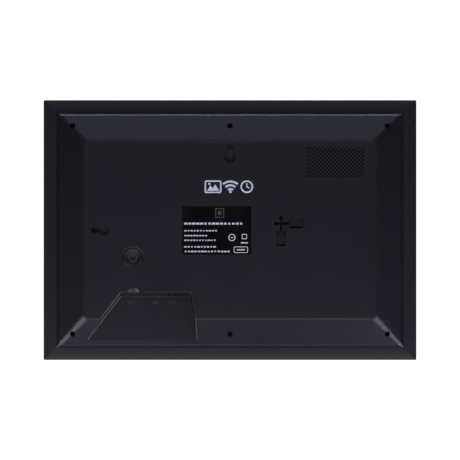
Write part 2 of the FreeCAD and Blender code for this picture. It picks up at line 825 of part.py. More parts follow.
def make_caps():
    """Cups that close the keyholes and the leg's socket from inside."""
    cup("keyhole_cap_top", "0", "keyhole_height + 1.9", "13", "17")
    cup("keyhole_cap_side", "keyhole_side + 1.9", "middle", "17", "13")
    cup("stand_socket_cap", "socket_centre - 0.3", "socket_height", "13", "13")


def make_button():
    """The dished power button with its collar and stem, and the switch behind it."""
    cap = rod("button_cap", *BUTTON, "button_radius", "flange_level", "panel_level")
    collar = rod("button_collar", *BUTTON, "flange_radius", "flange_level - flange_depth", "flange_level")
    stem = rod("button_stem", *BUTTON, "stem_radius", "plunger_level", "flange_level")
    dish = document.addObject("Part::Sphere", "button_dish")
    bind(dish, "Radius", "dish_ball")
    place(dish, "button_centre", "panel_level + dish_ball - dish_depth", "button_height")
    blank = joined("button_blank", [cap, collar, stem])
    document.recompute()
    soft = size("cap_edge_round")
    edges = []
    for number, edge in enumerate(blank.Shape.Edges, 1):
        if lies_at(edge, "Y", size("panel_level")):
            edges.append((number, soft, soft))
    softened = document.addObject("Part::Fillet", "button_softened")
    softened.Base = blank
    softened.Edges = edges
    keep("power_button", cut("power_button", softened, dish))
    base = box("switch_base", *BUTTON, "6", "6", "board_rear", "board_rear + 3.5")
    bore = rod("switch_bore", *BUTTON, "plunger_radius + 0.15", "board_rear + 1.2", "board_rear + 4")
    keep("tact_switch", cut("tact_switch", base, bore))
    keep("switch_plunger", rod("switch_plunger", *BUTTON, "plunger_radius", "board_rear + 2",
                               "plunger_level"))


def make_board():
    """The main board and what is soldered to it."""
    body = slab("main_board", "(board_left + board_right) / 2", "(board_low + board_high) / 2",
                "board_left - board_right", "board_high - board_low", "board_rear",
                "board_rear - board_front", "1")
    holes = sketch(body, "board_holes", "board_rear")
    for x, z in BOARD_SCREWS:
        circle(holes, x, z, "clearance")
    pocket(body, holes, "board_rear - board_front")
    keep("main_board", body)
    screws = []
    for number, (x, z) in enumerate(BOARD_SCREWS):
        screws.append(screw(f"board_screw_{number}", x, z, "board_front", "thread", "1.8", "6.5", "1", False))
    keep("board_screws", group("board_screws", screws))
    rear = "board_rear"
    keep("processor", box("processor", *PROCESSOR, "processor_side", "processor_side", rear,
                          f"{rear} + 1.2"))
    chips = [box(f"memory_{index}", f"39 + {index} * 10", "68", "8", "7", rear, f"{rear} + 1")
             for index in range(2)]
    keep("memory_chips", group("memory_chips", chips))
    make_shield_can()
    keep("wifi_module", box("wifi_module", "40", "94", "13", "10", rear, f"{rear} + 1.8"))
    coils = [box(f"coil_{index}", f"32 + {index} * 0.4", f"74 + {index} * 7", "5", "5", rear, f"{rear} + 2.4")
             for index in range(2)]
    keep("power_inductors", group("power_inductors", coils))
    cans = [rod(f"can_{index}", f"56.5 + {index} * 5.2", "93.5", "2.1", rear, f"{rear} + 4.6")
            for index in range(3)]
    keep("capacitors", group("capacitors", cans))
    front = "board_front"
    plugs = [box("display_plug", "display_plug", "plug_height", "26", "3.6", f"{front} - 1.6", front),
             box("touch_plug", "touch_plug", "plug_height", "9", "3.6", f"{front} - 1.6", front)]
    keep("flex_connectors", group("flex_connectors", plugs))
    keep("speaker_connector", box("speaker_connector", "30.5", "89", "5", "4.4", rear, f"{rear} + 3.2"))


def make_shield_can():
    """A thin metal lid over the processor."""
    lid = box("shield_outside", *PROCESSOR, "processor_side + 4", "processor_side + 4", "board_rear",
              "board_rear + 2.4")
    hollow = box("shield_inside", *PROCESSOR, "processor_side + 3.4", "processor_side + 3.4",
                 "board_rear - 1", "board_rear + 2.1")
    keep("shield_can", cut("shield_can", lid, hollow))


def upward_box(name, x, width, low, high, front, rear):
    """A box between two heights, about a centre in X."""
    return box(name, x, f"(({low}) + ({high})) / 2", width, f"({high}) - ({low})", front, rear)


def make_ports():
    """The three sockets that face down into the bay."""
    rear, edge = "board_rear", "port_edge"
    shell = upward_box("data_shell", "data_across", "7.8", edge, f"{edge} + 6", rear, f"{rear} + 3")
    mouth = upward_box("data_mouth", "data_across", "7.2", f"{edge} - 1", f"{edge} + 5", f"{rear} + 0.3",
                       f"{rear} + 2.7")
    tongue = upward_box("data_tongue", "data_across", "4.6", f"{edge} + 0.6", f"{edge} + 5.5",
                        f"{rear} + 1.2", f"{rear} + 1.9")
    keep("usb_socket", joined("usb_socket", [cut("data_hollow", shell, mouth), tongue]))
    shell = upward_box("card_shell", "card_across", "14.4", edge, f"{edge} + 14", rear, f"{rear} + 1.9")
    mouth = upward_box("card_mouth", "card_across", "11.4", f"{edge} - 1", f"{edge} + 12.5", f"{rear} + 0.5",
                       f"{rear} + 1.5")
    keep("card_socket", cut("card_socket", shell, mouth))
    shell = upward_box("inlet_shell", "inlet_across", "8.6", edge, f"{edge} + 11", rear, f"{rear} + 5.5")
    bore = document.addObject("Part::Cylinder", "inlet_bore")
    bind(bore, "Radius", "inlet_bore")
    bind(bore, "Height", "10")
    place(bore, "inlet_across", "inlet_level", f"{edge} - 1")
    contact = document.addObject("Part::Cylinder", "inlet_pin")
    bind(contact, "Radius", "inlet_pin")
    bind(contact, "Height", "9")
    place(contact, "inlet_across", "inlet_level", f"{edge} + 1")
    keep("power_inlet", joined("power_inlet", [cut("inlet_hollow", shell, bore), contact]))


def make_speaker():
    """Basket, magnet, coil and cone, with the gasket, cloth and screws that hold them."""
    x, z = "speaker_centre", "speaker_height"
    body = slab("speaker_frame", x, z, "basket_width", "basket_height", "basket_rear",
                "basket_rear - basket_front", "3")
    ears = sketch(body, "speaker_ears", "basket_front + 1")
    rounded(ears, x, z, "2 * ear_spread + 5.6", "5.6", "2.6")
    pad(body, ears, "1")
    well = sketch(body, "basket_well", "basket_rear")
    rounded(well, x, z, "basket_width - 3", "basket_height - 3", "2.5")
    pocket(body, well, "basket_rear - basket_front - 0.8")
    holes = sketch(body, "basket_holes", "basket_rear")
    circle(holes, x, z, "6.4")
    circle(holes, f"{x} - ear_spread", z, "clearance")
    circle(holes, f"{x} + ear_spread", z, "clearance")
    pocket(body, holes, "basket_rear - basket_front")
    keep("speaker_frame", body)
    yoke = rod("yoke", x, z, "8", "basket_front - 2.4", "basket_front")
    pole = rod("pole", x, z, "4.5", "basket_front - 1", "basket_rear - 2")
    keep("speaker_magnet", joined("speaker_magnet", [yoke, pole]))
    plate = slab("speaker_cone", x, z, "basket_width - 3.8", "basket_height - 3.8", "basket_rear - 0.6",
                 "0.5", "2.2")
    dome = sketch(plate, "cone_recess", "basket_rear - 0.6")
    rounded(dome, x, z, "basket_width - 8", "basket_height - 8", "1.6")
    pocket(plate, dome, "0.25")
    keep("speaker_cone", plate)
    outside = rod("coil_outside", x, z, "5.6", "basket_front + 1", "basket_rear - 1.1")
    inside = rod("coil_inside", x, z, "5", "basket_front", "basket_rear")
    keep("voice_coil", cut("voice_coil", outside, inside))
    keep("speaker_gasket", ring("speaker_gasket", x, z, "basket_width + 0.6", "basket_height + 0.6", "1.8",
                                "panel_level - skin - 0.15", "0.85"))
    keep("speaker_mesh", slab("speaker_mesh", x, z, "grille_width + 0.4", "grille_height + 1.6",
                              "panel_level - skin", "0.15"))
    screws = [screw(f"speaker_screw_{name}", f"{x} {side} ear_spread", z, "basket_front", "thread", "1.8",
                    "4.6", "0.9", False) for name, side in (("right", "-"), ("left", "+"))]
    keep("speaker_screws", group("speaker_screws", screws))


def ribbon(label, x, width, points, thickness=0.2):
    """A flat flexible lead: a band of even thickness through (level, height) points."""
    body = new_body(label)
    drawing = sketch(body, label + "_side", f"{x} - {width} / 2", "YZ_Plane")
    outer = [(f"{level} + {thickness}", f"{height}") for level, height in reversed(points)]
    polygon(drawing, points + outer)
    pad(body, drawing, width)
    return keep(label, body)


def make_flexes():
    """Flat leads from the display and the touch glass up to the board."""
    rise = [("chassis_rear + 0.25", "47"), ("chassis_rear + 0.25", "50"), ("1.6", "54.6"), ("1.6", "56.2")]
    for label, x, width in (("display_flex", "display_plug", "24"), ("touch_flex", "touch_plug", "7")):
        ribbon(label, x, width, rise)


def tube(label, points, radius):
    """A round lead: straight runs joined by tangent arcs, swept by its radius."""
    points = [Vector(*point) for point in points]
    edges = []
    start = points[0]
    for index in range(1, len(points) - 1):
        before = points[index] - points[index - 1]
        after = points[index + 1] - points[index]
        turn = before.getAngle(after)
        reach = 0.45 * min(before.Length, after.Length)
        enter = points[index] - Vector(before).normalize() * reach
        leave = points[index] + Vector(after).normalize() * reach
        bend = reach / math.tan(turn / 2)
        inward = (Vector(after).normalize() - Vector(before).normalize()).normalize()
        centre = points[index] + inward * (bend / math.cos(turn / 2))
        midway = centre - inward * bend
        edges.append(Part.LineSegment(start, enter).toShape())
        edges.append(Part.Arc(enter, midway, leave).toShape())
        start = leave
    edges.append(Part.LineSegment(start, points[-1]).toShape())
    path = Part.Wire(edges)
    heading = points[1] - points[0]
    mouth = Part.Wire([Part.Circle(points[0], heading, radius).toShape()])
    solid = path.makePipeShell([mouth], True, True)
    expected = math.pi * radius ** 2 * path.Length
    if abs(solid.Volume - expected) > 0.02 * expected:
        raise RuntimeError(f"{label} volume {solid.Volume:.2f}, not {expected:.2f}")
    item = document.addObject("Part::Feature", label)
    item.Shape = solid
    return keep(label, item)


def make_leads():
    """The speaker's twin lead and the aerial's thin coax."""
    keep("antenna_board", slab("antenna_board", "60", "125", "40", "7", "panel_level - skin", "0.6", "1"))
    tube("speaker_lead", [(-50.5, 7.3, 129), (-38, 6.6, 121), (-18, 5.8, 119), (4, 5.6, 111),
                          (18, 6.2, 96), (27.4, 6.2, 90)], 0.8)
    tube("antenna_lead", [(42, 5.5, 99.2), (42.6, 5.7, 105), (45, 6.6, 110.6), (48, 8, 116),
                          (50, 9.3, 121.4)], 0.5)


def make_cover_fasteners():
    """The six screws in the wells of the rear cover."""
    screws = []
    for number, (x, z) in enumerate(rear_screw_places()):
        screws.append(screw(f"rear_screw_{number}", x, z, "screw_seat", "1", "1.7", "3.9", "1.3"))
    keep("rear_screws", group("rear_screws", screws))


def make_label():
    """The rating label on the rear panel."""
    keep("rating_label", slab("rating_label", *LABEL_CENTRE, "label_left - label_right",
                              "label_high - label_low", "panel_level - 0.03", "label_depth", "1"))


def check_and_export():
    """Refuse any failed object or bad shape, then write one file for each sub-part."""
    document.recompute()
    for item in document.Objects:
        if "Invalid" in item.State or "Error" in item.State:
            raise RuntimeError(f"{item.Label} failed: {item.State}")
    os.makedirs("parts", exist_ok=True)
    for label, item in sorted(subparts.items()):
        shape = item.Shape
        if shape.isNull() or not shape.isValid() or not shape.Solids:
            raise RuntimeError(f"{label} has no valid solid")
        shape.exportStep(f"parts/{label}.step")
        print(f"{label}: {len(shape.Solids)} solid(s), {shape.Volume:.1f} mm3")
    print(len(subparts), "sub-parts")


fill_sheet()
make_front_frame()
make_display()
make_retainer()
make_rear_cover()
make_caps()
make_button()
make_board()
make_ports()
make_speaker()
make_flexes()
make_leads()
make_cover_fasteners()
make_label()
check_and_export()
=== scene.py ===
"""Looks of a digital photo frame: a slab surround, a bevelled rear cover and what they hold."""

from __future__ import annotations

import json
import logging
import math
from dataclasses import dataclass, field
from enum import Enum
from typing import Callable, Sequence

import bmesh
import bpy
from mathutils import Matrix, Vector

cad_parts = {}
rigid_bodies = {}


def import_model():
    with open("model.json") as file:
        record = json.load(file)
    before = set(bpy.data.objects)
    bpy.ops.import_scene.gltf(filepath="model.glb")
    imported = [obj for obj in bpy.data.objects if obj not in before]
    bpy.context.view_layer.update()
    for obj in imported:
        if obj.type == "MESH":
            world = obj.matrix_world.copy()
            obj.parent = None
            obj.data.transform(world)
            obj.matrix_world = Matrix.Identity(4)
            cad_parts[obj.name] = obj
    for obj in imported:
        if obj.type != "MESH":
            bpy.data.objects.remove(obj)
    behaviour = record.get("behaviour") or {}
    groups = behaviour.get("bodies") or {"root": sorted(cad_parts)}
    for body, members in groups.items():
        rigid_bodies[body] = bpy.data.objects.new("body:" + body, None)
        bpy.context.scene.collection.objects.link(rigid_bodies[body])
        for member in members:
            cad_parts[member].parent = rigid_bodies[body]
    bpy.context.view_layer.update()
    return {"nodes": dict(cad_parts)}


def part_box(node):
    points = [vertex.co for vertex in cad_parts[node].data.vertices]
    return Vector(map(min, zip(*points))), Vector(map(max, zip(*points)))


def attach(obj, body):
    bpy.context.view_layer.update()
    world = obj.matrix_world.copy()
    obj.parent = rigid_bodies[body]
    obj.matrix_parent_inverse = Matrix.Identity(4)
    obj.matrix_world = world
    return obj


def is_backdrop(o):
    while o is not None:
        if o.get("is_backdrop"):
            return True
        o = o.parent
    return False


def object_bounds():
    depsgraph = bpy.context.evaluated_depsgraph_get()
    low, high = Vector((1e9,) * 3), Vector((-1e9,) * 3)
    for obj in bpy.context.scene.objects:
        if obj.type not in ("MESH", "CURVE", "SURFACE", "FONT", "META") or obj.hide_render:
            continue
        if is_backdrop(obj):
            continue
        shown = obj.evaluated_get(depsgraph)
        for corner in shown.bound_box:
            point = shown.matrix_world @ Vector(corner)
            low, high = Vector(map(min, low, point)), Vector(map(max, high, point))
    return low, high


LOG = logging.getLogger("photo_frame")
MM = 0.001

Colour = tuple[float, float, float]
Point = tuple[float, float]
Loop = list[Point]


class Body(str, Enum):
    """The rigid bodies that new pieces ride on."""

    HOUSING = "housing"
    BUTTON = "button"


class Slot(str, Enum):
    """Material slots of the record, passed along with each new piece."""

    COVER = "cover_plastic"
    FILM = "black_film"
    PRINT = "white_plastic"
    CHIP = "chip_plastic"


# --------------------------------------------------------------------------- node building


class Graph:
    """A material's node tree, built one node at a time around its Principled shader."""

    def __init__(self, name: str) -> None:
        """Start an empty material.

        Args:
            name: The material's name.
        """
        self.material = bpy.data.materials.new(name)
        self.material.use_nodes = True
        self.tree = self.material.node_tree
        self.shader = self.tree.nodes["Principled BSDF"]
        self.place = self.node("ShaderNodeTexCoord").outputs["Object"]

    def node(self, kind: str, **settings: object) -> bpy.types.Node:
        """Add a node and set its properties."""
        item = self.tree.nodes.new(kind)
        for key, value in settings.items():
            setattr(item, key, value)
        return item

    def link(self, source: bpy.types.NodeSocket, target: bpy.types.NodeSocket) -> None:
        """Join two sockets."""
        self.tree.links.new(source, target)

    def set(self, **values: object) -> None:
        """Set the shader's own sockets, with underscores for the spaces in their names."""
        for key, value in values.items():
            socket = self.shader.inputs[key.replace("_", " ")]
            if isinstance(value, tuple) and len(value) == 3:
                value = (*value, 1.0)
            socket.default_value = value

    def stretched(self, scale: Colour) -> bpy.types.NodeSocket:
        """Object coordinates scaled by a different factor along each axis."""
        mapping = self.node("ShaderNodeMapping")
        mapping.inputs["Scale"].default_value = scale
        self.link(self.place, mapping.inputs["Vector"])
        return mapping.outputs["Vector"]

    def noise(
        self,
        size: float,
        detail: float = 2.0,
        stretch: Colour | None = None,
    ) -> bpy.types.NodeSocket:
        """Smooth noise.

        Args:
            size: The width of one blotch in millimetres.
            detail: How many finer layers it carries.
            stretch: Factors along X, Y and Z, for brushed or drawn surfaces.

        Returns:
            The factor socket.
        """
        item = self.node("ShaderNodeTexNoise")
        item.inputs["Scale"].default_value = 1.0 / (size * MM)
        item.inputs["Detail"].default_value = detail
        self.link(self.stretched(stretch) if stretch else self.place, item.inputs["Vector"])
        return item.outputs["Fac"]

    def cells(self, size: float, edges: bool = False) -> bpy.types.NodeSocket:
        """Distance within cells of a size in millimetres, or to their edges."""
        item = self.node("ShaderNodeTexVoronoi", feature="DISTANCE_TO_EDGE" if edges else "F1")
        item.inputs["Scale"].default_value = 1.0 / (size * MM)
        self.link(self.place, item.inputs["Vector"])
        return item.outputs["Distance"]

    def stripes(self, pitch: float, axis: str) -> bpy.types.NodeSocket:
        """Even stripes across one axis, with their pitch in millimetres."""
        item = self.node("ShaderNodeTexWave", bands_direction=axis, wave_profile="SIN")
        item.inputs["Scale"].default_value = math.pi / (10.0 * pitch * MM)
        self.link(self.place, item.inputs["Vector"])
        return item.outputs["Fac"]

    def remap(
        self,
        value: bpy.types.NodeSocket,
        low: float,
        high: float,
        start: float = 0.3,
        end: float = 0.7,
    ) -> bpy.types.NodeSocket:
        """Carry a factor from one range to another."""
        item = self.node("ShaderNodeMapRange")
        for key, number in zip(("From Min", "From Max", "To Min", "To Max"), (start, end, low, high)):
            item.inputs[key].default_value = number
        self.link(value, item.inputs["Value"])
        return item.outputs["Result"]

    def tint(self, factor: bpy.types.NodeSocket, first: Colour, second: Colour) -> None:
        """Drive the base colour between two colours."""
        item = self.node("ShaderNodeMix", data_type="RGBA")
        self.link(factor, item.inputs["Factor"])
        for socket, colour in zip((item.inputs[6], item.inputs[7]), (first, second)):
            socket.default_value = (*colour, 1.0)
        self.link(item.outputs[2], self.shader.inputs["Base Color"])

    def rough(self, factor: bpy.types.NodeSocket, low: float, high: float) -> None:
        """Drive the roughness by a factor."""
        self.link(self.remap(factor, low, high), self.shader.inputs["Roughness"])

    def bump(self, *layers: tuple[bpy.types.NodeSocket, float]) -> None:
        """Stack reliefs, each a height factor and its depth in millimetres."""
        normal = None
        for height, depth in layers:
            item = self.node("ShaderNodeBump")
            item.inputs["Strength"].default_value = 1.0
            item.inputs["Distance"].default_value = depth * MM
            self.link(height, item.inputs["Height"])
            if normal is not None:
                self.link(normal, item.inputs["Normal"])
            normal = item.outputs["Normal"]
        self.link(normal, self.shader.inputs["Normal"])


def lighter(colour: Colour, factor: float) -> Colour:
    """A colour scaled by a factor, kept within one."""
    return tuple(min(1.0, part * factor) for part in colour)


# --------------------------------------------------------------------------- finishes


@dataclass(frozen=True)
class MouldedPlastic:
    """Injection-moulded plastic with an eroded tool texture, handled a little."""

    name: str
    colour: Colour
    roughness: float
    grain: float = 0.3
    depth: float = 0.004
    spread: float = 0.015

    def make(self) -> bpy.types.Material:
        """Build the material."""
        graph = Graph(self.name)
        graph.set(IOR=1.5)
        broad = graph.noise(38.0, 3.0)
        graph.tint(broad, lighter(self.colour, 0.93), lighter(self.colour, 1.07))
        graph.rough(broad, self.roughness - self.spread, self.roughness + self.spread)
        graph.bump((graph.cells(self.grain), self.depth), (graph.noise(self.grain * 3, 4.0), self.depth))
        return graph.material


@dataclass(frozen=True)
class PolishedPlastic:
    """Polished or filmed plastic with faint wipe marks."""

    name: str
    colour: Colour
    roughness: float = 0.16

    def make(self) -> bpy.types.Material:
        """Build the material."""
        graph = Graph(self.name)
        graph.set(IOR=1.5, Coat_Weight=0.25, Coat_Roughness=0.08)
        wipe = graph.noise(9.0, 4.0, (1.0, 1.0, 0.35))
        graph.tint(wipe, lighter(self.colour, 0.9), lighter(self.colour, 1.1))
        graph.rough(wipe, self.roughness - 0.03, self.roughness + 0.07)
        graph.bump((graph.noise(6.0, 2.0), 0.004))
        return graph.material


@dataclass(frozen=True)
class Ink:
    """Screen-printed ink, a little uneven in cover."""

    name: str
    colour: Colour
    roughness: float = 0.5

    def make(self) -> bpy.types.Material:
        """Build the material."""
        graph = Graph(self.name)
        cover = graph.noise(0.6, 3.0)
        graph.tint(cover, lighter(self.colour, 0.9), lighter(self.colour, 1.05))
        graph.rough(cover, self.roughness - 0.06, self.roughness + 0.06)
        graph.bump((graph.noise(0.15, 2.0), 0.002))
        return graph.material


@dataclass(frozen=True)
class Glass:
    """Clear sheet glass."""

    name: str
    colour: Colour = (0.94, 0.96, 0.96)

    def make(self) -> bpy.types.Material:
        """Build the material."""
        graph = Graph(self.name)
        graph.set(IOR=1.5, Transmission_Weight=1.0, Base_Color=self.colour)
        graph.rough(graph.noise(60.0, 2.0), 0.012, 0.03)
        return graph.material


@dataclass(frozen=True)
class Metal:
    """Plated or bare sheet metal with rolling marks along X."""

    name: str
    colour: Colour
    roughness: float
    grain: float = 0.5

    def make(self) -> bpy.types.Material:
        """Build the material."""
        graph = Graph(self.name)
        graph.set(Metallic=1.0)
        streaks = graph.noise(self.grain, 4.0, (0.08, 1.0, 1.0))
        graph.tint(streaks, lighter(self.colour, 0.85), lighter(self.colour, 1.08))
        graph.rough(streaks, self.roughness - 0.06, self.roughness + 0.1)
        graph.bump((streaks, 0.003))
        return graph.material


@dataclass(frozen=True)
class Laminate:
    """Circuit board with tracks showing under its solder mask."""

    name: str
    mask: Colour
    tracks: Colour

    def make(self) -> bpy.types.Material:
        """Build the material."""
        graph = Graph(self.name)
        graph.set(Roughness=0.32)
        lines = graph.remap(graph.cells(2.6, edges=True), 0.0, 1.0, 0.04, 0.09)
        graph.tint(lines, self.tracks, self.mask)
        graph.bump((lines, 0.03))
        return graph.material


@dataclass(frozen=True)
class Striped:
    """A material with fine even lines, such as flat leads or wound wire."""

    name: str
    ground: Colour
    lines: Colour
    pitch: float
    axis: str = "X"
    metallic: float = 0.0
    roughness: float = 0.35

    def make(self) -> bpy.types.Material:
        """Build the material."""
        graph = Graph(self.name)
        graph.set(Metallic=self.metallic, Roughness=self.roughness)
        bands = graph.stripes(self.pitch, self.axis)
        graph.tint(bands, self.ground, self.lines)
        graph.bump((bands, 0.02))
        return graph.material


@dataclass(frozen=True)
class Soft:
    """Foam, felt, paper or rubber: dull, with an open grain."""

    name: str
    colour: Colour
    grain: float
    depth: float
    roughness: float = 0.9

    def make(self) -> bpy.types.Material:
        """Build the material."""
        graph = Graph(self.name)
        graph.set(Sheen_Weight=0.2, Roughness=self.roughness)
        pores = graph.cells(self.grain)
        graph.tint(pores, lighter(self.colour, 0.6), lighter(self.colour, 1.4))
        graph.bump((pores, self.depth))
        return graph.material


@dataclass(frozen=True)
class Workshop:
    """Every finish of the frame, each made once."""

    surround: MouldedPlastic = MouldedPlastic("surround_plastic", (0.0165, 0.0170, 0.0215), 0.33, 0.35, 0.003)
    cover: MouldedPlastic = MouldedPlastic("cover_plastic", (0.0115, 0.0120, 0.0150), 0.37)
    cap: MouldedPlastic = MouldedPlastic("cap_plastic", (0.0105, 0.011, 0.0145), 0.36, 0.25, 0.002)
    # Lighter grey plastic for hidden parts and the port marks. On the keyhole caps its lightness is painted
    # light: it brings their shaded floors up to the tone of the lit panel.
    hidden: MouldedPlastic = MouldedPlastic("hidden_plastic", (0.045, 0.046, 0.05), 0.55, 0.6, 0.01)
    white: MouldedPlastic = MouldedPlastic("white_plastic", (0.72, 0.72, 0.69), 0.45, 0.5, 0.006)
    film: PolishedPlastic = PolishedPlastic("label_film", (0.0035, 0.0035, 0.0055), 0.16)
    mask: PolishedPlastic = PolishedPlastic("glass_print", (0.004, 0.004, 0.005), 0.2)
    print: Ink = Ink("label_print", (0.84, 0.84, 0.90))
    dim_print: Ink = Ink("dim_print", (0.055, 0.056, 0.06))
    emblem: Ink = Ink("emblem_print", (0.80, 0.88, 0.98), 0.42)
    # Power mark strokes: the mark on the real button is engraved, and the lighter tone given here is painted
    # light standing in for the light caught by the engraving's walls.
    engraving: Ink = Ink("engraving", (0.065, 0.066, 0.075), 0.45)
    glass: Glass = Glass("touch_glass")
    polariser: MouldedPlastic = MouldedPlastic("polariser", (0.008, 0.009, 0.012), 0.3, 0.08, 0.0004, 0.01)
    diffuser: PolishedPlastic = PolishedPlastic("diffuser", (0.8, 0.82, 0.84), 0.4)
    acrylic: Glass = Glass("acrylic", (0.9, 0.94, 0.97))
    steel: Metal = Metal("zinc_steel", (0.56, 0.57, 0.58), 0.34)
    black_steel: Metal = Metal("black_steel", (0.03, 0.03, 0.033), 0.38, 0.3)
    tin: Metal = Metal("tinned_steel", (0.66, 0.65, 0.62), 0.26)
    board: Laminate = Laminate("board_laminate", (0.008, 0.05, 0.022), (0.03, 0.13, 0.05))
    epoxy: MouldedPlastic = MouldedPlastic("chip_epoxy", (0.018, 0.018, 0.02), 0.6, 0.12, 0.008)
    flex: Striped = Striped("flat_lead", (0.42, 0.2, 0.035), (0.6, 0.34, 0.1), 0.5)
    wire: Striped = Striped("wound_wire", (0.5, 0.2, 0.09), (0.85, 0.42, 0.22), 0.16, "Y", 1.0, 0.3)
    foam: Soft = Soft("foam", (0.016, 0.016, 0.017), 0.35, 0.05, 0.95)
    cloth: Striped = Striped("grille_cloth", (0.006, 0.006, 0.007), (0.016, 0.016, 0.018), 0.4, "DIAGONAL",
                             0.0, 0.9)
    paper: Soft = Soft("cone_paper", (0.03, 0.03, 0.031), 0.5, 0.03, 0.85)
    sheath: Soft = Soft("lead_sheath", (0.02, 0.02, 0.021), 0.4, 0.004, 0.55)

    def stock(self) -> dict[str, bpy.types.Material]:
        """Make every finish.

        Returns:
            The materials by field name.
        """
        return {key: getattr(self, key).make() for key in self.__dataclass_fields__}


# --------------------------------------------------------------------------- flat art


def turned(count: int, start: float, end: float) -> list[float]:
    """Angles in radians from a start to an end in degrees, both included."""
    return [math.radians(start + (end - start) * step / count) for step in range(count + 1)]


def disc(centre: Point, radius: float, count: int = 32) -> Loop:
    """A circle of short sides."""
    return [(centre[0] + radius * math.cos(turn), centre[1] + radius * math.sin(turn))
            for turn in turned(count, 0.0, 360.0)[:-1]]


def panel(centre: Point, width: float, height: float, radius: float = 0.0) -> Loop:
    """A rectangle, with round corners where a radius is given."""
    if radius <= 0.0:
        corners = ((1, 1), (-1, 1), (-1, -1), (1, -1))
        return [(centre[0] + x * width / 2, centre[1] + y * height / 2) for x, y in corners]
    loop: Loop = []
    for quarter, (across, up) in enumerate(((1, 1), (-1, 1), (-1, -1), (1, -1))):
        hub = (centre[0] + across * (width / 2 - radius), centre[1] + up * (height / 2 - radius))
        loop += [(hub[0] + radius * math.cos(turn), hub[1] + radius * math.sin(turn))
                 for turn in turned(6, quarter * 90.0, quarter * 90.0 + 90.0)]
    return loop


def band(centre: Point, radius: float, width: float, start: float, end: float) -> Loop:
    """An arc-shaped stroke of even width between two angles in degrees."""
    angles = turned(28, start, end)
    outer, inner = radius + width / 2, radius - width / 2
    loop = [(centre[0] + outer * math.cos(turn), centre[1] + outer * math.sin(turn)) for turn in angles]
    loop += [(centre[0] + inner * math.cos(turn), centre[1] + inner * math.sin(turn))
             for turn in reversed(angles)]
    return loop


@dataclass
class FlatArt:
    """Shapes in millimetres, drawn as seen from behind: first number rightwards, second upwards."""

    name: str
    origin: Vector
    loops: list[Loop] = field(default_factory=list)
    thickness: float = 0.02

    def add(self, *loops: Loop) -> "FlatArt":
        """Add closed outlines; one inside another makes a hole."""
        self.loops.extend(loops)
        return self

    def facing_back(self) -> Matrix:
        """The turn that lays the drawing on the rear side, right way round from behind."""
        turn = Matrix(((-1, 0, 0, 0), (0, 0, 1, 0), (0, 1, 0, 0), (0, 0, 0, 1)))
        return Matrix.Translation(self.origin) @ turn @ Matrix.Diagonal((MM, MM, MM, 1.0))

    def build(
        self,
        material: bpy.types.Material,
        follow: Callable[[Vector], float] | None = None,
    ) -> bpy.types.Object:
        """Fill the outlines and give them thickness.

        Args:
            material: The finish.
            follow: How far to move each point along Y, from its place, to lie on a curved surface.

        Returns:
            The new piece.
        """
        curve = bpy.data.curves.new(self.name, "CURVE")
        curve.dimensions = "2D"
        curve.fill_mode = "BOTH"
        curve.extrude = self.thickness / 2
        for loop in self.loops:
            spline = curve.splines.new("POLY")
            spline.points.add(len(loop) - 1)
            for point, (across, up) in zip(spline.points, loop):
                point.co = (across, up, 0.0, 1.0)
            spline.use_cyclic_u = True
        holder = bpy.data.objects.new(self.name + "_outline", curve)
        bpy.context.scene.collection.objects.link(holder)
        bpy.context.view_layer.update()
        mesh = bpy.data.meshes.new_from_object(holder.evaluated_get(bpy.context.evaluated_depsgraph_get()))
        bpy.data.objects.remove(holder)
        mesh.transform(self.facing_back())
        if follow is not None:
            for vertex in mesh.vertices:
                vertex.co.y += follow(vertex.co)
        return finished(self.name, mesh, material)


def finished(name: str, mesh: bpy.types.Mesh, material: bpy.types.Material) -> bpy.types.Object:
    """Close a mesh's seams, point its faces outwards and make it an object at the origin."""
    solid = bmesh.new()
    solid.from_mesh(mesh)
    bmesh.ops.remove_doubles(solid, verts=solid.verts, dist=1e-7)
    bmesh.ops.recalc_face_normals(solid, faces=solid.faces)
    solid.to_mesh(mesh)
    solid.free()
    mesh.materials.clear()
    mesh.materials.append(material)
    mesh.name = name
    piece = bpy.data.objects.new(name, mesh)
    bpy.context.scene.collection.objects.link(piece)
    return piece


# --------------------------------------------------------------------------- geometry nodes


